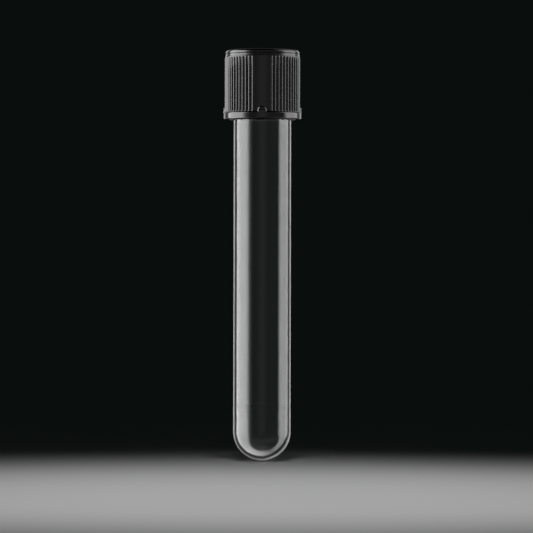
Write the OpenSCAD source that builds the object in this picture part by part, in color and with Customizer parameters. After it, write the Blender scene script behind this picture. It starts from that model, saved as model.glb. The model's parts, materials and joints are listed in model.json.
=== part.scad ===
// Screw-cap culture tube: a round-bottom glass tube, a ribbed moulded cap and a faced liner.
// Millimetres. Z runs up the tube's axis and the origin is the lowest point of the round bottom.

/* [Tube] */
// Outer diameter of the tube body
tube_d = 16; // [14:0.5:20]
// Wall thickness of the tube body
wall = 1.0; // [0.8:0.1:1.3]
// Thickness of the glass at the lowest point
bottom_t = 1.3; // [1:0.1:2]
// Length of the glass, from the bottom to the rim
tube_h = 110; // [80:1:180]

/* [Neck] */
// How far the neck's core is narrower than the tube body, in radius
neck_step = 0.15; // [0.1:0.05:0.3]
// Wall thickness of the neck, which the rim rounds off
neck_wall = 1.35; // [1.2:0.05:1.5]
// Distance from the rim down to the foot of the neck
neck_h = 14; // [13:0.5:18]

/* [Thread] */
// Rise of the thread in one turn
pitch = 3; // [3:0.1:3.4]
// Turns of thread on the glass and in the cap
thread_turns = 1.75; // [1.5:0.25:1.75]
// Height of the glass thread above the neck's core
thread_h = 1.05; // [0.8:0.05:1.1]
// Width of either thread at its crest
crest_w = 0.65; // [0.5:0.05:0.7]
// Radial gap between either thread's crest and the wall that it faces
thread_gap = 0.25; // [0.2:0.05:0.3]
// Axial gap on the flanks that take the load of the tightened cap
flank_gap = 0.13; // [0.1:0.01:0.2]

/* [Cap] */
// Height of the cap, from the flange's underside to its flat top
cap_h = 19.15; // [19:0.05:22]
// Thickness of the cap's side wall
cap_wall = 1.3; // [1.2:0.05:1.8]
// Thickness of the cap's top plate
plate_t = 1.75; // [1.6:0.05:2.4]
// Radius that rounds the cap's top edge
cap_round = 0.95; // [0.6:0.05:1.1]
// Height of the flange at the cap's lower edge
flange_h = 1.95; // [1.5:0.05:2.5]
// How far the flange and the lugs stand out from the cap's wall
flange_out = 0.37; // [0.3:0.01:0.6]
// Angle at which the tightened cap comes to rest
rest_angle = -0.5; // [-45:0.1:45]

/* [Grip] */
// Evenly spaced places for ribs all round the cap
rib_places = 64; // [40:4:64]
// Places that each smooth panel leaves without a rib
panel_places = 4; // [3:1:6]
// Radius of a rib's rounded crest
rib_r = 0.42; // [0.35:0.01:0.45]
// How far a rib stands out from the cap's wall
rib_out = 0.27; // [0.15:0.01:0.29]
// Radius of a half-round lug
lug_r = 1.3; // [1:0.1:1.6]

/* [Liner] */
// Thickness of the elastic pad
pad_t = 1.2; // [0.8:0.1:1.6]
// Thickness of the inert facing
facing_t = 0.2; // [0.1:0.05:0.3]
// Radial gap between the liner and the cap's wall
liner_gap = 0.2; // [0.1:0.05:0.4]

/* [Hidden] */
$fn = 96;

// Tube
tube_r = tube_d / 2;
bore_r = tube_r - wall;
neck_r = tube_r - neck_step;
mouth_r = neck_r - neck_wall;
lip_r = neck_wall / 2;
neck_z = tube_h - neck_h;
shoulder_h = 0.8;   // height of the slope between the body and the neck's core
throat_drop = 1.5;  // how far above the neck's foot the bore starts to narrow
throat_h = 3;       // height over which it narrows

// Thread
flank = 2 / 3;           // how much wider a thread gets on each side for each unit of depth
steps_per_turn = 48;
run_out = 45;            // degrees over which a thread rises out of its wall at each end
sink = 0.3;              // how deep a thread's foot sits inside its wall
glass_crest_r = neck_r + thread_h;
cap_bore_r = glass_crest_r + thread_gap;
cap_crest_r = neck_r + thread_gap;
thread_drop = 8.2;       // depth below the rim at which the glass thread's middle starts
thread_z = tube_h - thread_drop;
cap_thread_lead = 45;    // degrees by which the cap's thread starts ahead of the glass thread

// Width of the two threads together at any one radius, which leaves the rest of the pitch free
both_w = 2 * crest_w + 2 * flank * (glass_crest_r - cap_crest_r);
cap_thread_drop = both_w / 2 + flank_gap;

// Cap
cap_r = cap_bore_r + cap_wall;
flange_r = cap_r + flange_out;
plate_z = tube_h + facing_t + pad_t;
cap_top_z = plate_z + plate_t;
cap_z = cap_top_z - cap_h;
flange_round = 0.35;
lead_in = 0.5;                     // chamfer where the neck enters the cap
groove_z = cap_top_z - 1.13;       // fine groove below the rounded top edge
groove_depth = 0.12;
rib_z = cap_z + flange_h - 0.1;    // lower end of a rib, just inside the flange
rib_top_z = cap_top_z - 1.9;       // upper end of a rib
lug_z = cap_z + flange_h + 0.25;   // middle of a lug's half circle
lug_root = 0.6;                    // how deep a lug starts inside the cap's wall
lug_inset = 0.02;                  // how far a lug's face stays inside the flange's edge
panels = 4;                        // smooth panels, each with a lug
panel_step = 360 / panels;
rib_step = 360 / rib_places;
ribs_per_group = rib_places / panels - panel_places;
past = 1;                          // how far a cut runs past the solid
lap = 0.01;                        // how far two joined areas overlap

// Glass tube -------------------------------------------------------------------------------------

// One side of a round-bottomed outline, from the axis out to radius r and up to height top
module round_bottomed(r, z, top) {
    intersection() {
        translate([0, z + r]) circle(r);
        translate([0, z]) square([r, r]);
    }
    translate([0, z + r]) square([r, top - z - r]);
}

// A band of the neck whose radius changes from r1 at z1 to r2 at z2
module cone_band(r1, z1, r2, z2)
    polygon([[0, z1], [r1, z1], [r2, z2], [0, z2]]);

module tube_outline() {
    difference() {
        union() {
            round_bottomed(tube_r, 0, neck_z);
            cone_band(tube_r, neck_z, neck_r, neck_z + shoulder_h);
            translate([0, neck_z + shoulder_h])
                square([neck_r, tube_h - lip_r - neck_z - shoulder_h]);
        }
        round_bottomed(bore_r, bottom_t, neck_z + throat_drop);
        cone_band(bore_r, neck_z + throat_drop, mouth_r, neck_z + throat_drop + throat_h);
        translate([0, neck_z + throat_drop + throat_h]) square([mouth_r, neck_h]);
    }
    translate([mouth_r + lip_r, tube_h - lip_r]) circle(lip_r);
}

module glass_tube() {
    color([0.86, 0.92, 0.92, 0.4]) union() {
        rotate_extrude() tube_outline();
        thread(neck_r, glass_crest_r, thread_z, 0);
    }
}

// Threads ----------------------------------------------------------------------------------------

// How far a thread has risen at angle a of its length, from -0.15, inside the wall, to 1
function rise(a, length) = -0.15 + 1.15 * min(1, a / run_out, (length - a) / run_out);

// The four corners of a thread at angle a. Its foot is at radius foot_r and its crest at crest_r.
function thread_ring(a, length, foot_r, crest_r, z, start) =
    let (
        side = sign(crest_r - foot_r),
        top_r = foot_r + (crest_r - foot_r) * rise(a, length),
        root_r = foot_r - side * sink,
        root_w = crest_w + 2 * flank * (abs(crest_r - foot_r) + sink),
        top_w = crest_w + 2 * flank * abs(crest_r - top_r),
        height = z + pitch * a / 360,
        corners = side > 0
            ? [[root_r, -root_w], [top_r, -top_w], [top_r, top_w], [root_r, root_w]]
            : [[top_r, -top_w], [root_r, -root_w], [root_r, root_w], [top_r, top_w]]
    )
    [for (c = corners) [c[0] * cos(start + a), c[0] * sin(start + a), height + c[1] / 2]];

// A helical ridge whose middle is at height z where it starts, at angle start
module thread(foot_r, crest_r, z, start) {
    length = 360 * thread_turns;
    steps = round(steps_per_turn * thread_turns);
    points = [
        for (i = [0:steps])
            each thread_ring(length * i / steps, length, foot_r, crest_r, z, start)
    ];
    sides = [
        for (i = [0:steps - 1], k = [0:3])
            let (a = 4 * i + k, b = 4 * i + (k + 1) % 4)
            each [[a, b, b + 4], [a, b + 4, a + 4]]
    ];
    last = 4 * steps;
    ends = [[0, 2, 1], [0, 3, 2], [last, last + 1, last + 2], [last, last + 2, last + 3]];
    polyhedron(points, concat(sides, ends));
}

// Cap --------------------------------------------------------------------------------------------

module shell_outline() {
    // Side wall and top plate, with the top edge rounded
    translate([0, cap_z]) square([cap_r, cap_h - cap_round]);
    translate([0, cap_top_z - cap_round - lap]) square([cap_r - cap_round, cap_round + lap]);
    translate([cap_r - cap_round, cap_top_z - cap_round]) circle(cap_round);
    // Flange, with both outer edges rounded
    translate([0, cap_z]) square([flange_r - flange_round, flange_h]);
    translate([0, cap_z + flange_round]) square([flange_r, flange_h - 2 * flange_round]);
    for (z = [cap_z + flange_round, cap_z + flange_h - flange_round])
        translate([flange_r - flange_round, z]) circle(flange_round);
}

module shell_cavity() {
    translate([0, cap_z - past]) square([cap_bore_r, plate_z - cap_z + past]);
    // Chamfer at the open end
    polygon([
        [0, cap_z - past],
        [cap_bore_r + lead_in + past, cap_z - past],
        [cap_bore_r, cap_z + lead_in],
        [0, cap_z + lead_in],
    ]);
    // Groove in the side, cut by a right-angled edge
    polygon([
        [cap_r + past, groove_z - groove_depth - past],
        [cap_r - groove_depth, groove_z],
        [cap_r + past, groove_z + groove_depth + past],
    ]);
}

// A rib: a rounded bar with ball ends, standing on the point where its lower end is
module rib() {
    length = rib_top_z - rib_z - 2 * rib_r;
    translate([0, 0, rib_r]) rotate_extrude() {
        intersection() {
            union() {
                circle(rib_r);
                translate([0, length]) circle(rib_r);
            }
            translate([0, -rib_r]) square([rib_r, length + 2 * rib_r]);
        }
        square([rib_r, length]);
    }
}

// The ribs between two smooth panels, centred on the +X axis
module rib_group() {
    reach = (ribs_per_group - 1) / 2;
    for (i = [-reach:reach])
        rotate([0, 0, i * rib_step]) translate([cap_r + rib_out - rib_r, 0, rib_z]) rib();
}

// A half-round boss on top of the flange, pointing along +X
module lug() {
    foot_z = cap_z + flange_h / 2;
    reach = lug_root + flange_out + past;
    intersection() {
        translate([cap_r - lug_root, 0, 0]) {
            translate([0, 0, lug_z]) rotate([0, 90, 0]) cylinder(r = lug_r, h = reach);
            translate([0, -lug_r, foot_z]) cube([reach, 2 * lug_r, lug_z - foot_z]);
        }
        cylinder(r = flange_r - lug_inset, h = cap_top_z);
    }
}

module cap_shell() {
    color([0.1, 0.1, 0.1]) union() {
        difference() {
            union() {
                rotate_extrude() shell_outline();
                rotate([0, 0, rest_angle]) for (side = [0:panels - 1]) {
                    rotate([0, 0, (side + 0.5) * panel_step]) rib_group();
                    rotate([0, 0, side * panel_step]) lug();
                }
            }
            rotate_extrude() shell_cavity();
        }
        thread(cap_bore_r, cap_crest_r,
               thread_z - cap_thread_drop - pitch * cap_thread_lead / 360, -cap_thread_lead);
    }
}

// Liner ------------------------------------------------------------------------------------------

module liner_disc(z, t) translate([0, 0, z]) cylinder(r = cap_bore_r - liner_gap, h = t);

module liner_pad() color([0.85, 0.82, 0.76]) liner_disc(tube_h + facing_t, pad_t);

module liner_facing() color([0.95, 0.95, 0.93]) liner_disc(tube_h, facing_t);

glass_tube();
cap_shell();
liner_pad();
liner_facing();
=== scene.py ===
"""Looks of the screw-cap culture tube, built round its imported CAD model.

Lengths are in millimetres until a mesh is made; meshes, lights and camera are in metres, in the
model's own frame. The pieces are the glass tube, the moulded cap and the two layers of its liner.
"""

import json
import math

import bpy
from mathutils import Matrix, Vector


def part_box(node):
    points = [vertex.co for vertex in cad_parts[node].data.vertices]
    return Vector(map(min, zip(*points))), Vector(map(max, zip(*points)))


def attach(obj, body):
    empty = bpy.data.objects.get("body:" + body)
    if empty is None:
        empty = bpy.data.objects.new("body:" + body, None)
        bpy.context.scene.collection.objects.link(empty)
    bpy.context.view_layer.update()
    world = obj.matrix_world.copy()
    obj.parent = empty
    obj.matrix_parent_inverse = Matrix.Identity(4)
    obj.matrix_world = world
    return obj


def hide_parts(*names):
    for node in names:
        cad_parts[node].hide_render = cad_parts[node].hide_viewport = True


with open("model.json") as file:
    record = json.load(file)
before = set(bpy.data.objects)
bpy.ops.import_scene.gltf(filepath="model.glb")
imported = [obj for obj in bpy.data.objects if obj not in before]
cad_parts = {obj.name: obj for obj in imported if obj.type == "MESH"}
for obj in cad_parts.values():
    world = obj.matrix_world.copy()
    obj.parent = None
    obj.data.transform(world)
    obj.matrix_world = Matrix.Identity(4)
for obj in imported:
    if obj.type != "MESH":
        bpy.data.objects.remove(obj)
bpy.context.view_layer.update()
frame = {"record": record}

MM = 0.001

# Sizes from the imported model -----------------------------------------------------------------


def extents(node):
    """A node's widest radius, lowest and highest point, in millimetres."""
    low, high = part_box(node)
    return max(high.x, high.y) / MM, low.z / MM, high.z / MM


def mount(name):
    """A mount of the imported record."""
    return next(m for m in frame["record"]["mounts"] if m["name"] == name)


_, glass_bottom, rim_z = extents("glass_tube")
flange_r, cap_z, cap_top = extents("cap_shell")
liner_r, pad_z, pad_top = extents("liner_pad")
_, facing_z, facing_top = extents("liner_facing")
tube_r = mount("tube_body")["dims"]["r_mm"]

# Glass
WALL = 1.0
BOTTOM_THICKNESS = 1.3
NECK_STEP = 0.15         # how far the neck's core is inside the tube's surface
NECK_WALL = 1.35
NECK_HEIGHT = 14.0
SHOULDER = 0.8           # height of the slope between the body and the neck
THROAT_DROP = 1.5        # how far above the neck's foot the bore starts to narrow
THROAT = 3.0             # height over which the bore narrows

# Threads: rise of a turn, turns, height, half width at the crest, and width of a flank
PITCH = 3.0
TURNS = 1.75
THREAD_HEIGHT = 1.05
CREST_HALF = 0.25
FLANK = 0.775
RUN_OUT = 45             # degrees over which a thread rises at each end
GLASS_THREAD_MARGIN = 0.3   # plain wall kept in the fine rows beside each thread
CAP_THREAD_MARGIN = 0.2
GLASS_THREAD_DROP = 8.2  # from the rim down to the middle of the glass thread's start
CAP_THREAD_DROP = 1.313  # from the glass thread down to the cap's thread
CAP_THREAD_LEAD = 45     # degrees by which the cap's thread starts ahead

# Cap
CAP_BORE = 9.15
CAP_WALL = 1.3
TOP_BAND_STEP = 0.12     # how far the smooth band above the ribs lies back
TOP_BAND_SLOPE = 0.2     # height of the slope from the ribs to that band
FLANGE_HEIGHT = 1.87
FLANGE_ROUND = 0.35
FILLET = 0.3             # between the flange's top and the wall
TOP_ROUND = 0.95
LEAD_IN = 0.5
CEILING_ROUND = 0.15     # less than the gap round the liner, so that the pad's edge stays clear
REST_ANGLE = -0.5        # angle of the closed cap
PANELS = 4               # smooth panels, each with a lug
RIB_PLACES = 64          # places for ribs all round
PANEL_PLACES = 4         # places that a panel leaves empty
RIB_OUT = 0.2            # how far a rib stands out of the wall
VALLEY = 0.1             # how far the valleys between ribs are sunk into the wall
RIB_R = 0.3              # radius of a rib's crest
RIB_FLANK = 36           # degrees by which a rib's flanks slope down to the valley
RIB_END = 0.45           # length of a rib's sloping upper end
RIB_MARGIN = 0.05        # fine rows kept below that end
RIB_START = 0.2          # how far above the flange the ribs start
RIB_TOP_DROP = 1.9       # from the cap's top down to the ribs' upper ends
# Where the mesh follows a rib, in shares of a place from its middle
RIB_COLUMNS = (-0.5, -0.38, -0.26, -0.17, -0.115, -0.06, 0, 0.06, 0.115, 0.17, 0.26, 0.38)
LUG_R = 1.3
LUG_Z = 0.25             # height of a lug's middle above the flange
LUG_EDGE = 0.34          # width of a lug's rounded edge
LUG_INSET = 0.02
LUG_FOOT = 0.7           # height above the flange of the waist between it and a lug
LUG_WAIST = 0.13         # depth of that waist
LUG_WAIST_HALF = 0.35    # half its height
LUG_MARGIN = 0.1         # fine rows kept above a lug
GROOVE_DROP = 1.13       # from the cap's top down to the fine groove
GROOVE_DEPTH = 0.14
GROOVE_HALF = 0.17
GATE_R = 1.3             # dimple in the middle of the cap's top, with a small pip left in it
GATE_DEPTH = 0.15

WEAR_TOP_WIDTH = 0.5     # how far onto the flat top, past its rounded edge, the wear reaches
WEAR_MIDDLE = 0.4        # middle of a worn edge, as a share of its rounding
WEAR_TOP_REACH = 0.7     # half the height of the worn top edge, as a share of its rounding
WEAR_LUG = 0.7           # wear of a lug

# Liner
LINER_ROUND = 0.08
IMPRINT = 0.03           # how deep the rim has pressed into the facing

# Mesh
SHARP = 50               # degrees between faces above which their edge is sharp
CEILING_RING = 2         # radius of the first ring round the middle of the cap's ceiling
LINER_RING = 1           # the same of a liner disc
COLUMNS_GLASS = 240
COLUMNS_CAVITY = 192     # a quarter of the columns outside
COLUMNS_LINER = 120

bore_r = tube_r - WALL
neck_r = tube_r - NECK_STEP
mouth_r = neck_r - NECK_WALL
lip_r = NECK_WALL / 2
lip_middle = mouth_r + lip_r
neck_z = rim_z - NECK_HEIGHT
cap_r = CAP_BORE + CAP_WALL
flange_top = cap_z + FLANGE_HEIGHT
plate_z = pad_top
rib_low = flange_top + RIB_START
rib_high = cap_top - RIB_TOP_DROP
glass_thread_z = rim_z - GLASS_THREAD_DROP
panel_step = 360 / PANELS
rib_step = 360 / RIB_PLACES
ribs_per_group = RIB_PLACES // PANELS - PANEL_PLACES
cap_thread_z = glass_thread_z - CAP_THREAD_DROP - PITCH * CAP_THREAD_LEAD / 360

# Shapes --------------------------------------------------------------------------------------


def smooth(t):
    """0 below 0, 1 above 1 and an even S between."""
    t = min(max(t, 0.0), 1.0)
    return t * t * (3 - 2 * t)


def arc(middle_r, middle_z, radius, start, end, steps):
    """Points (r, z) along an arc. Angles are in degrees, 0 outwards and 90 upwards."""
    turns = [math.radians(start + (end - start) * i / steps) for i in range(steps + 1)]
    return [(middle_r + radius * math.cos(a), middle_z + radius * math.sin(a)) for a in turns]


def run(start, end, steps, ease=lambda t: t):
    """Points from start to end, without the end. ease bends the radius between them."""
    (r1, z1), (r2, z2) = start, end
    shares = [i / steps for i in range(steps)]
    return [(r1 + (r2 - r1) * ease(t), z1 + (z2 - z1) * t) for t in shares]


def thread(angle, z, start_z, start_angle):
    """Height from 0 to 1 of a helical ridge above its wall, at one point of the wall."""
    length = 360 * TURNS
    along = (angle - start_angle) % 360
    best = 0.0
    while along <= length:
        off = abs(z - start_z - PITCH * along / 360)
        rise = min(1.0, along / RUN_OUT, (length - along) / RUN_OUT)
        best = max(best, smooth((CREST_HALF + FLANK - off) / FLANK) * smooth(rise))
        along += 360
    return best


def band(a, b):
    """Faces between two rings of vertex numbers, whose counts divide. One may be a single point."""
    many, few = (a, b) if len(a) >= len(b) else (b, a)
    share = len(many) // len(few)
    faces = []
    for i in range(len(many)):
        j = i + 1
        near, far = few[i // share], few[j // share % len(few)]
        face = [many[i], many[j % len(many)], far] + ([near] if near != far else [])
        faces.append(face if many is a else face[::-1])
    return faces


def even(count):
    """Columns spread evenly all round."""
    return [360 * i / count for i in range(count)]


def skin(name, sections, turn=0.0, marks=None):
    """A closed mesh of revolution from sections, each (outline, columns, swell).

    An outline is a list of (r, z), columns are the angles at which the skin follows it, and
    swell(r, z, angle) is how far the skin stands out there. marks(r, z, angle) gives each
    point's share of wear.
    """
    points, faces, worn, last = [], [], [], None
    for outline, columns, swell in sections:
        for r, z in outline:
            first = len(points)
            for degrees in columns if r > 0 else columns[:1]:
                wide = r + (swell(r, z, degrees) if swell else 0.0)
                a = math.radians(degrees + turn)
                points.append((wide * math.cos(a) * MM, wide * math.sin(a) * MM, z * MM))
                worn.append(marks(r, z, degrees) if marks else 0.0)
            ring = list(range(first, len(points)))
            if last:
                faces += band(last, ring)
            last = ring
    mesh = bpy.data.meshes.new(name)
    mesh.from_pydata(points, [], faces)
    mesh.attributes.new("wear", "FLOAT", "POINT").data.foreach_set("value", worn)
    mesh.shade_smooth()
    mesh.set_sharp_from_angle(angle=math.radians(SHARP))
    piece = bpy.data.objects.new(name, mesh)
    bpy.context.scene.collection.objects.link(piece)
    return piece


# Pieces --------------------------------------------------------------------------------------


def glass_outside():
    """From the lowest point up the outside and over the rounded rim."""
    bottom = arc(0, glass_bottom + tube_r, tube_r, -90, 0, 40)
    shoulder = (tube_r, neck_z), (neck_r, neck_z + SHOULDER)
    thread_foot = glass_thread_z - CREST_HALF - FLANK - GLASS_THREAD_MARGIN
    return (
        [(0, glass_bottom)] + bottom[1:]
        + run(bottom[-1], shoulder[0], 24)[1:]
        + run(*shoulder, 8, smooth)
        + run(shoulder[1], (neck_r, thread_foot), 4)
        + run((neck_r, thread_foot), (neck_r, rim_z - lip_r), 64)
        + arc(lip_middle, rim_z - lip_r, lip_r, 0, 180, 18)
    )


def glass_inside():
    """From the rim down the bore to the inner round bottom."""
    inner_z = glass_bottom + BOTTOM_THICKNESS
    throat_z = neck_z + THROAT_DROP
    bottom = arc(0, inner_z + bore_r, bore_r, 0, -90, 36)
    return (
        run((mouth_r, rim_z - lip_r), (mouth_r, throat_z + THROAT), 8)[1:]
        + run((mouth_r, throat_z + THROAT), (bore_r, throat_z), 12, smooth)
        + run((bore_r, throat_z), bottom[0], 24)
        + bottom[:-1] + [(0, inner_z)]
    )


def glass_body():
    def with_thread(r, z, angle):
        return THREAD_HEIGHT * thread(angle, z, glass_thread_z, 0) if r == neck_r else 0.0

    return skin("glass_body", [
        (glass_outside(), even(COLUMNS_GLASS), with_thread),
        (glass_inside(), even(COLUMNS_GLASS), None),
    ])


def nearest(angle, middle, step):
    """How far an angle is from the nearest of middle, middle + step and so on."""
    return (angle - middle + step / 2) % step - step / 2


def rib(angle, z):
    """How far the ribs stand out at one point of the cap's wall, less than 0 in their valleys."""
    in_group = nearest(angle, panel_step / 2, panel_step)
    if z < rib_low or abs(in_group) > ribs_per_group * rib_step / 2:
        return 0.0
    across = math.radians(nearest(in_group, (ribs_per_group - 1) / 2 * rib_step, rib_step)) * cap_r
    past_end = max(z - rib_high + RIB_END, 0.0)
    off = math.hypot(across, past_end)
    flank = math.radians(RIB_FLANK)
    crest = RIB_R * math.sin(flank)
    round_drop = RIB_R - math.sqrt(RIB_R ** 2 - min(off, crest) ** 2)
    between = past_end == 0 and abs(in_group) < (ribs_per_group - 1) * rib_step / 2
    out = RIB_OUT - round_drop - max(off - crest, 0.0) * math.tan(flank)
    return max(out, -VALLEY if between else 0.0)


def lug(angle, z):
    """Share of a lug's full height at one point of the cap's wall."""
    across = math.radians(nearest(angle, 0, panel_step)) * cap_r
    up = max(z - flange_top - LUG_Z, 0.0)
    edge = smooth((LUG_R - math.hypot(across, up)) / LUG_EDGE)
    waist = 1 - smooth(abs(z - flange_top - LUG_FOOT) / LUG_WAIST_HALF)
    return edge * (1 - LUG_WAIST / (flange_r - cap_r) * waist)


def cap_swell(r, z, angle):
    """How far the cap's skin stands out from its plain outline."""
    if not flange_top - FLANGE_ROUND < z <= rib_high:
        return 0.0
    out = rib(angle, z) or (flange_r - cap_r - LUG_INSET) * lug(angle, z)
    return out if r == cap_r else max(cap_r + out - r, 0.0)


def cap_wear(r, z, angle):
    """Rib crests, lugs and the flange's and top's rounded edges have been handled most."""
    if r < cap_r - TOP_ROUND - WEAR_TOP_WIDTH or r < CAP_BORE + LEAD_IN:
        return 0.0
    top_off = abs(z - cap_top + WEAR_MIDDLE * TOP_ROUND)
    low_off = abs(z - cap_z - WEAR_MIDDLE * FLANGE_ROUND)
    top_edge = 1 - smooth(top_off / (WEAR_TOP_REACH * TOP_ROUND))
    low_edge = 1 - smooth(low_off / FLANGE_ROUND)
    return max(top_edge, low_edge, rib(angle, z) / RIB_OUT, WEAR_LUG * lug(angle, z))


def cap_cavity():
    """From the middle of the cap's ceiling out and down to the chamfer at its open end."""
    corner = CAP_BORE - CEILING_ROUND
    thread_foot = cap_thread_z - CREST_HALF - FLANK - CAP_THREAD_MARGIN
    thread_head = cap_thread_z + PITCH * TURNS + CREST_HALF + FLANK + CAP_THREAD_MARGIN
    return (
        [(0, plate_z)] + run((CEILING_RING, plate_z), (corner, plate_z), 3)
        + arc(corner, plate_z - CEILING_ROUND, CEILING_ROUND, 90, 0, 4)
        + run((CAP_BORE, thread_head), (CAP_BORE, thread_foot), 44)
        + [(CAP_BORE, thread_foot), (CAP_BORE, cap_z + LEAD_IN), (CAP_BORE + LEAD_IN, cap_z)]
    )


def cap_outside():
    """From the flange's underside up the wall and in over the top."""
    inner = flange_r - FLANGE_ROUND
    lugs_end = flange_top + LUG_Z + LUG_R + LUG_MARGIN
    band_r = cap_r - TOP_BAND_STEP
    ribs_end = rib_high - RIB_END - RIB_MARGIN
    band_z = rib_high + TOP_BAND_SLOPE
    groove_z = cap_top - GROOVE_DROP
    groove = [
        (band_r - GROOVE_DEPTH * (1 - smooth(abs(t))), groove_z + GROOVE_HALF * t)
        for t in (-1, -0.75, -0.5, -0.25, 0, 0.25, 0.5, 0.75, 1)
    ]
    gate = [
        (r, cap_top - GATE_DEPTH * depth)
        for r, depth in ((GATE_R + 0.2, 0), (GATE_R, 0.15), (GATE_R - 0.15, 0.8), (GATE_R - 0.3, 1),
                         (0.55, 1), (0.45, 0.9), (0.35, 0.3), (0.2, 0.2), (0, 0.2))
    ]
    return (
        arc(inner, cap_z + FLANGE_ROUND, FLANGE_ROUND, -90, 0, 6)
        + run((flange_r, cap_z + FLANGE_ROUND), (flange_r, flange_top - FLANGE_ROUND), 4)[1:]
        + arc(inner, flange_top - FLANGE_ROUND, FLANGE_ROUND, 0, 80, 6)
        + arc(cap_r + FILLET, flange_top + FILLET, FILLET, 255, 180, 6)[:-1]
        + run((cap_r, flange_top + FILLET), (cap_r, lugs_end), 18)
        + run((cap_r, lugs_end), (cap_r, ribs_end), 4)
        + run((cap_r, ribs_end), (cap_r, rib_high), 8)
        + run((cap_r, rib_high), (band_r, band_z), 4, smooth)
        + [(band_r, band_z)] + groove
        + arc(band_r - TOP_ROUND, cap_top - TOP_ROUND, TOP_ROUND, 0, 90, 12)
        + run((band_r - TOP_ROUND, cap_top), gate[0], 6)[1:]
        + gate
    )


def cap_body():
    columns = [
        rib_step * (place + 0.5 + column) for place in range(RIB_PLACES) for column in RIB_COLUMNS
    ]

    def with_thread(r, z, angle):
        if r != CAP_BORE:
            return 0.0
        return -THREAD_HEIGHT * thread(angle + REST_ANGLE, z, cap_thread_z, -CAP_THREAD_LEAD)

    return skin("cap_body", [
        (cap_cavity(), even(COLUMNS_CAVITY), with_thread),
        (cap_outside(), columns, cap_swell),
    ], REST_ANGLE, cap_wear)


def disc(name, low, high, imprint=0.0):
    """A disc with rounded edges. The tube's rim may have left a ring in its underside."""
    edge = liner_r - LINER_ROUND
    ring = [
        (lip_middle + t * lip_r, low + imprint * (1 - smooth(abs(t))))
        for t in (-1, -0.6, -0.3, 0, 0.3, 0.6, 1)
    ]
    return skin(name, [(
        [(0, low)] + run((LINER_RING, low), (ring[0][0], low), 5) + ring
        + arc(edge, low + LINER_ROUND, LINER_ROUND, -90, 0, 5)
        + arc(edge, high - LINER_ROUND, LINER_ROUND, 0, 90, 5)
        + run((edge, high), (LINER_RING, high), 6)[1:] + [(0, high)],
        even(COLUMNS_LINER), None,
    )])


# Node helpers --------------------------------------------------------------------------------


def node(tree, kind, **settings):
    """A new node with some of its settings."""
    made = tree.nodes.new(kind)
    for key, value in settings.items():
        setattr(made, key, value)
    return made


def calc(tree, operation, *values):
    """A Math node over sockets and numbers."""
    made = node(tree, "ShaderNodeMath", operation=operation)
    for socket, value in zip(made.inputs, values):
        if isinstance(value, (int, float)):
            socket.default_value = value
        else:
            tree.links.new(value, socket)
    return made.outputs["Value"]


def share(tree, value, start, end):
    """An even S from 0 where value is at start to 1 at end."""
    made = node(tree, "ShaderNodeMapRange", interpolation_type="SMOOTHSTEP")
    made.inputs["From Min"].default_value = start
    made.inputs["From Max"].default_value = end
    tree.links.new(value, made.inputs["Value"])
    return made.outputs["Result"]


# Materials -----------------------------------------------------------------------------------


class Look:
    """A node material with one Principled shader, and short ways to feed it."""

    def __init__(self, name, **uniform):
        self.material = bpy.data.materials.new(name)
        self.material.use_nodes = True
        self.nodes = self.material.node_tree.nodes
        self.links = self.material.node_tree.links
        self.shader = self.nodes["Principled BSDF"]
        self.place = self.nodes.new("ShaderNodeTexCoord").outputs["Object"]
        for socket, value in uniform.items():
            self.shader.inputs[socket.replace("_", " ")].default_value = value

    def noise(self, scale, detail=3.0, stretch=(1, 1, 1)):
        """Noise from 0 to 1. scale is in features per metre."""
        mapping = self.nodes.new("ShaderNodeMapping")
        mapping.inputs["Scale"].default_value = stretch
        node = self.nodes.new("ShaderNodeTexNoise")
        node.inputs["Scale"].default_value = scale
        node.inputs["Detail"].default_value = detail
        self.links.new(self.place, mapping.inputs["Vector"])
        self.links.new(mapping.outputs["Vector"], node.inputs["Vector"])
        return node.outputs["Fac"]

    def bands(self, scale, direction):
        """Fine bands along an axis, or rings round it."""
        node = self.nodes.new("ShaderNodeTexWave")
        if direction == "RINGS":
            node.wave_type = "RINGS"
            node.rings_direction = "Z"
        else:
            node.bands_direction = direction
        node.inputs["Scale"].default_value = scale
        node.inputs["Distortion"].default_value = 1.5
        node.inputs["Detail Scale"].default_value = 2
        self.links.new(self.place, node.inputs["Vector"])
        return node.outputs["Fac"]

    def wear(self):
        """The mesh's own share of wear."""
        node = self.nodes.new("ShaderNodeAttribute")
        node.attribute_name = "wear"
        return node.outputs["Fac"]

    def spread(self, value, low, high, start=0.35, end=0.65):
        """Maps start to end of a value to low to high."""
        node = self.nodes.new("ShaderNodeMapRange")
        for socket, number in (("From Min", start), ("From Max", end), ("To Min", low), ("To Max", high)):
            node.inputs[socket].default_value = number
        self.links.new(value, node.inputs["Value"])
        return node.outputs["Result"]

    def math(self, operation, a, b):
        return calc(self.material.node_tree, operation, a, b)

    def mix(self, share, a, b):
        """A colour between a and b, each a colour or another mix."""
        node = self.nodes.new("ShaderNodeMix")
        node.data_type = "RGBA"
        self.links.new(share, node.inputs["Factor"])
        colours = [s for s in node.inputs if s.type == "RGBA"]
        for socket, value in zip(colours, (a, b)):
            if isinstance(value, tuple):
                socket.default_value = (*value, 1)
            else:
                self.links.new(value, socket)
        return next(s for s in node.outputs if s.type == "RGBA")

    def feed(self, socket, value):
        self.links.new(value, self.shader.inputs[socket])

    def bump(self, *layers):
        """Bump from (height, distance in metres) layers, one on another."""
        last = None
        for height, distance in layers:
            node = self.nodes.new("ShaderNodeBump")
            node.inputs["Distance"].default_value = distance
            self.links.new(height, node.inputs["Height"])
            if last:
                self.links.new(last, node.inputs["Normal"])
            last = node.outputs["Normal"]
        self.feed("Normal", last)

    def dress(self, piece):
        piece.data.materials.append(self.material)


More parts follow.
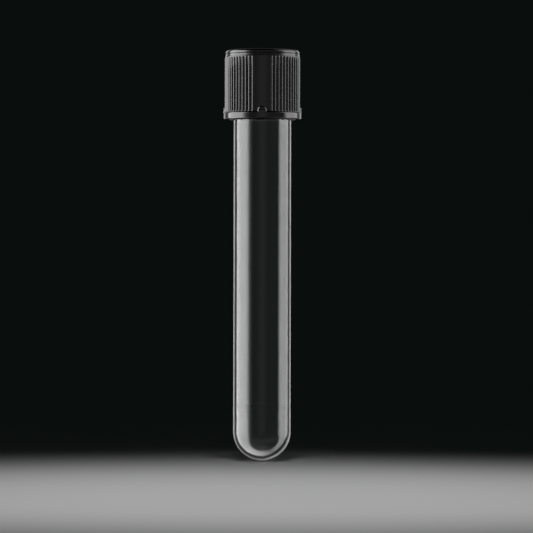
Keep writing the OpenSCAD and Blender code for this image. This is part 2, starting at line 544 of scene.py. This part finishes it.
def borosilicate():
    look = Look("borosilicate_glass", Transmission_Weight=1.0, IOR=1.47)
    cloud = look.noise(160)
    look.feed("Base Color", look.mix(look.spread(cloud, 0, 1), (0.97, 0.985, 0.985), (0.99, 0.995, 0.995)))
    look.feed("Roughness", look.spread(look.noise(900), 0.0, 0.003))
    draw_lines = look.noise(240, 2, (1, 1, 0.05))
    look.bump((draw_lines, 0.00001))
    return look


def black_plastic():
    look = Look("moulded_black_plastic", IOR=1.5)
    wear = look.wear()
    cloud = look.spread(look.noise(220), 0, 1)
    plain = look.mix(cloud, (0.008, 0.008, 0.009), (0.014, 0.014, 0.015))
    scuffs = look.spread(look.noise(1800, 5), 0, 1, 0.45, 0.7)
    worn = look.math("MULTIPLY", wear, scuffs)
    look.feed("Base Color", look.mix(worn, plain, (0.045, 0.045, 0.048)))
    rough = look.spread(look.noise(700, 4), 0.05, 0.08)
    look.feed("Roughness", look.math("ADD", rough, look.math("MULTIPLY", worn, 0.06)))
    look.bump((look.noise(3000, 2), 0.0000005), (look.bands(450, "Z"), 0.000001))
    return look


def pad_rubber():
    look = Look("silicone_pad", IOR=1.43)
    cloud = look.spread(look.noise(300, 4), 0, 1)
    look.feed("Base Color", look.mix(cloud, (0.70, 0.66, 0.58), (0.76, 0.73, 0.66)))
    look.feed("Roughness", look.spread(look.noise(1500, 4), 0.62, 0.82))
    look.bump((look.noise(3500, 5), 0.00003))
    return look


def facing_plastic():
    look = Look("inert_facing", IOR=1.38)
    cloud = look.spread(look.noise(500, 3), 0, 1)
    look.feed("Base Color", look.mix(cloud, (0.86, 0.86, 0.84), (0.92, 0.92, 0.91)))
    look.feed("Roughness", look.spread(look.noise(1200, 3), 0.34, 0.5))
    look.bump((look.bands(900, "RINGS"), 0.000008))
    return look


# Studio --------------------------------------------------------------------------------------

DARK = (0.0030, 0.0044, 0.0040)   # backdrop

FLOOR_R = 0.4
FLOOR_COLUMNS = 96
FLOOR_PALE = 0.8         # its share of light given back
POOL = Vector((0.0015, -0.18, 0.0))     # middle of the lit patch
LAMP = Vector((0.0015, -0.16, 0.7))
LAMP_SIZE = 0.05
POOL_ANGLE = 34          # degrees across the lamp's cone
POOL_POWER = 9.0         # watts
CAMERA = Vector((0.0012, -1.0, 0.0535))
CAMERA_LENS = 244.8      # millimetres, on a sensor 36 wide
CAMERA_ROLL = -0.12      # degrees

# The room and its softboxes, fitted to the photograph's reflections. A curve gives radiance against degrees
# from straight ahead of the camera. roll is degrees round the camera's axis, 0 to the right and
# 90 up: a light reaches from one roll to the other and fades over soft. A light that tapers by
# (start, end, narrower, middle) gets narrower about that middle angle between two rolls. below
# is its share of radiance under the horizon.
ROOM = [(18, 0.0), (30, 0.27), (140, 0.27), (152, 0.22), (160, 0.26), (168, 0.36), (180, 0.46)]
CEILING = 0.06
LEFT_BOX = {
    "curve": [(55, 0.0), (61, 5.2), (66, 8.6), (78, 8.2), (104, 9.2), (115, 8.9), (121, 6.1),
              (127, 1.9), (134, 0.45), (142, 0.0)],
    "roll": (135, 225), "soft": 16, "taper": None, "below": 1.0,
}
RIGHT_BOX = {
    "curve": [(53, 0.0), (60, 4.2), (68, 4.4), (82, 4.8), (97, 6.2), (104, 5.3), (110, 2.4),
              (114, 0.4), (117, 0.0)],
    "roll": (-60, 45), "soft": 60, "taper": (-5, -45, 1.4, 85), "below": 0.8,
}
FRONT_EDGE = {
    "curve": [(19, 0.0), (25, 1.8), (33, 1.3), (41, 0.5), (48, 0.12), (56, 0.0)],
    "roll": (-230, 50), "soft": 20, "taper": None, "below": 0.4,
}
# Glass shows the left box wrapping under its round bottom, and a low edge light.
UNDER_BOX = {**LEFT_BOX, "roll": (135, 275), "soft": 70, "taper": (195, 270, 1.0, 72), "below": 0.75}
LOW_EDGE = {
    "curve": [(28, 0.0), (34, 0.6), (46, 0.9), (53, 0.0)],
    "roll": (-80, -15), "soft": 20, "taper": None, "below": 1.0,
}
ON_PLASTIC = (0.9, LEFT_BOX, RIGHT_BOX, {**FRONT_EDGE, "below": 0.1})
ON_GLASS = (1.25, UNDER_BOX, RIGHT_BOX, FRONT_EDGE, LOW_EDGE)
INNER_SHARE = 0.12     # of the low lights, for paths out of the glass after an inner reflection
FIRST_BOUNCE = 2.5     # Ray Depth counts one further at the background, so one bounce is 2
AT_LEAST_ONE = 0.5     # a count above this is one or more

# Heights of a direction, 1 straight up, between which the room darkens overhead and a light
# counts as low
CEILING_FROM_TO = (0.8, 0.55)
LOW_FROM_TO = (-0.05, -0.4)


def curve(tree, degrees, levels):
    """Levels joined by straight lines, for an angle from 0 to 180."""
    ramp = node(tree, "ShaderNodeValToRGB")
    top = max(level for _, level in levels)
    stops = ramp.color_ramp.elements
    while len(stops) < len(levels):
        stops.new(0.5)
    for stop, (angle, level) in zip(stops, levels):
        stop.position = angle / 180
        stop.color = (level / top,) * 3 + (1,)
    tree.links.new(calc(tree, "DIVIDE", degrees, 180), ramp.inputs["Fac"])
    return calc(tree, "MULTIPLY", ramp.outputs["Color"], top)


def softbox(tree, ahead, roll, low, light):
    """What one light gives in a direction. low is 1 well under the horizon."""
    if light["taper"]:
        start, end, narrower, about = light["taper"]
        from_start = calc(tree, "WRAP", calc(tree, "SUBTRACT", roll, start), 180, -180)
        narrowing = calc(tree, "MULTIPLY", share(tree, from_start, 0, end - start), narrower)
        off = calc(tree, "SUBTRACT", ahead, about)
        ahead = calc(tree, "ADD", calc(tree, "MULTIPLY_ADD", off, narrowing, off), about)
    first, last = light["roll"]
    middle, half = (first + last) / 2, (last - first) / 2
    turned = calc(tree, "WRAP", calc(tree, "SUBTRACT", roll, middle), 180, -180)
    edge = half - light["soft"] / 2
    reach = share(tree, calc(tree, "ABSOLUTE", turned), edge + light["soft"], edge)
    level = calc(tree, "MULTIPLY_ADD", low, light["below"] - 1, 1)
    return calc(tree, "MULTIPLY", curve(tree, ahead, light["curve"]), calc(tree, "MULTIPLY", reach, level))


def lit(tree, total, ahead, roll, low, gain, *lights):
    """The room's total with some lights added to it, all at one gain."""
    for light in lights:
        given = softbox(tree, ahead, roll, low, light)
        total = calc(tree, "MULTIPLY_ADD", given, gain, total)
    return total


def studio():
    """A dark room with softboxes fitted to the photograph's reflections.

    Mirror reflections see them, and paths out of the glass after an inner reflection see a
    share of the low ones. Polished paths see the glass's set, at their first bounce only, and
    all others the plastic's, so that share is left to paths that something has blurred.
    """
    world = bpy.data.worlds.new("studio")
    bpy.context.scene.world = world
    world.use_nodes = True
    world.cycles.sampling_method = "NONE"
    tree = world.node_tree
    tree.nodes.clear()
    towards = node(tree, "ShaderNodeSeparateXYZ")
    tree.links.new(node(tree, "ShaderNodeTexCoord").outputs["Generated"], towards.inputs["Vector"])
    x, y, z = (towards.outputs[axis] for axis in "XYZ")
    ahead = calc(tree, "DEGREES", calc(tree, "ARCCOSINE", y))
    roll = calc(tree, "DEGREES", calc(tree, "ARCTAN2", z, x))
    ceiling = calc(tree, "MULTIPLY_ADD", share(tree, z, *CEILING_FROM_TO), 1 - CEILING, CEILING)
    low = share(tree, z, *LOW_FROM_TO)
    room = calc(tree, "MULTIPLY", curve(tree, ahead, ROOM), ceiling)
    on_plastic = lit(tree, room, ahead, roll, low, *ON_PLASTIC)
    on_glass = lit(tree, room, ahead, roll, low, *ON_GLASS)
    path = node(tree, "ShaderNodeLightPath")
    mirror = calc(tree, "MULTIPLY", path.outputs["Is Glossy Ray"], path.outputs["Is Reflection Ray"])
    polished = path.outputs["Is Singular Ray"]
    direct = calc(tree, "LESS_THAN", path.outputs["Ray Depth"], FIRST_BOUNCE)
    inner = calc(tree, "MULTIPLY", path.outputs["Is Transmission Ray"],
                 calc(tree, "GREATER_THAN", path.outputs["Glossy Depth"], AT_LEAST_ONE))
    seen = calc(tree, "ADD",
                calc(tree, "MULTIPLY", on_glass, calc(tree, "MULTIPLY", polished, direct)),
                calc(tree, "MULTIPLY", on_plastic, calc(tree, "SUBTRACT", 1, polished)))
    mirrored = calc(tree, "MULTIPLY_ADD", inner, calc(tree, "MULTIPLY", low, INNER_SHARE), mirror)
    backdrop = node(tree, "ShaderNodeBackground")
    backdrop.inputs["Color"].default_value = (*DARK, 1)
    tent = node(tree, "ShaderNodeBackground")
    tree.links.new(seen, tent.inputs["Strength"])
    choice = node(tree, "ShaderNodeMixShader")
    tree.links.new(mirrored, choice.inputs[0])
    tree.links.new(backdrop.outputs[0], choice.inputs[1])
    tree.links.new(tent.outputs[0], choice.inputs[2])
    tree.links.new(choice.outputs[0], node(tree, "ShaderNodeOutputWorld").inputs["Surface"])


def floor_paint():
    """Pale and matt. A faint painted glow makes it match the backdrop unlit, its paleness fades out to its
    edge as painted shade that darkens it into the backdrop, and mirrored paths pass through it.
    """
    paint = bpy.data.materials.new("pale_floor")
    paint.use_nodes = True
    tree = paint.node_tree
    surface = tree.nodes["Principled BSDF"]
    surface.inputs["Roughness"].default_value = 0.9
    surface.inputs["Specular IOR Level"].default_value = 0.0
    # The floor's painted glow has the backdrop's dark colour.
    surface.inputs["Emission Color"].default_value = (*DARK, 1)
    path = node(tree, "ShaderNodeLightPath")
    choice = node(tree, "ShaderNodeMixShader")
    distance = node(tree, "ShaderNodeVectorMath", operation="LENGTH")
    tree.links.new(node(tree, "ShaderNodeTexCoord").outputs["Object"], distance.inputs[0])
    # Painted shade: the floor's paleness fades to nothing from half its radius out to its edge.
    kept = share(tree, distance.outputs["Value"], FLOOR_R, FLOOR_R / 2)
    pale = calc(tree, "MULTIPLY", kept, FLOOR_PALE)
    tree.links.new(pale, surface.inputs["Base Color"])
    # Painted glow: where the floor is less pale it gives off the backdrop's dark colour, so that unlit it
    # matches the backdrop.
    tree.links.new(calc(tree, "SUBTRACT", 1, pale), surface.inputs["Emission Strength"])
    tree.links.new(calc(tree, "GREATER_THAN", path.outputs["Glossy Depth"], AT_LEAST_ONE), choice.inputs[0])
    tree.links.new(surface.outputs[0], choice.inputs[1])
    tree.links.new(node(tree, "ShaderNodeBsdfTransparent").outputs[0], choice.inputs[2])
    tree.links.new(choice.outputs[0], tree.nodes["Material Output"].inputs["Surface"])
    return paint


def stage_floor():
    floor = bpy.data.meshes.new("floor")
    turns = [2 * math.pi * i / FLOOR_COLUMNS for i in range(FLOOR_COLUMNS)]
    ring = [(FLOOR_R * math.cos(a), FLOOR_R * math.sin(a), 0) for a in turns]
    floor.from_pydata(ring, [], [range(FLOOR_COLUMNS)])
    floor.materials.append(floor_paint())
    placed = bpy.data.objects.new("floor", floor)
    bpy.context.scene.collection.objects.link(placed)


def pool_lamp():
    lamp = bpy.data.lights.new("pool_lamp", "SPOT")
    lamp.energy = POOL_POWER
    lamp.spot_size = math.radians(POOL_ANGLE)
    lamp.spot_blend = 1.0
    lamp.shadow_soft_size = LAMP_SIZE
    placed = bpy.data.objects.new("pool_lamp", lamp)
    placed.location = LAMP
    placed.rotation_euler = (POOL - LAMP).to_track_quat("-Z", "Y").to_euler()
    placed.visible_glossy = False
    bpy.context.scene.collection.objects.link(placed)


def look_from_photo():
    """The camera stands level, a metre in front, at half the height of the picture."""
    camera = bpy.data.cameras.new("camera")
    camera.sensor_width = 36
    camera.lens = CAMERA_LENS
    placed = bpy.data.objects.new("camera", camera)
    placed.location = CAMERA
    placed.rotation_euler = (math.radians(90), math.radians(CAMERA_ROLL), 0)
    bpy.context.scene.collection.objects.link(placed)
    bpy.context.scene.camera = placed
    bpy.context.scene.view_settings.view_transform = "Standard"


# Assembly ------------------------------------------------------------------------------------

look_from_photo()
studio()
pool_lamp()
stage_floor()

for piece, look, body, node_name, slot in (
    (glass_body(), borosilicate(), "tube", "glass_tube", "glass"),
    (cap_body(), black_plastic(), "cap", "cap_shell", "cap_plastic"),
    (disc("pad_disc", pad_z, pad_top), pad_rubber(), "liner", "liner_pad", "pad_rubber"),
    (disc("facing_disc", facing_z, facing_top, IMPRINT), facing_plastic(),
     "liner", "liner_facing", "facing_plastic"),
):
    look.dress(piece)
    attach(piece, body)
    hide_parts(node_name)
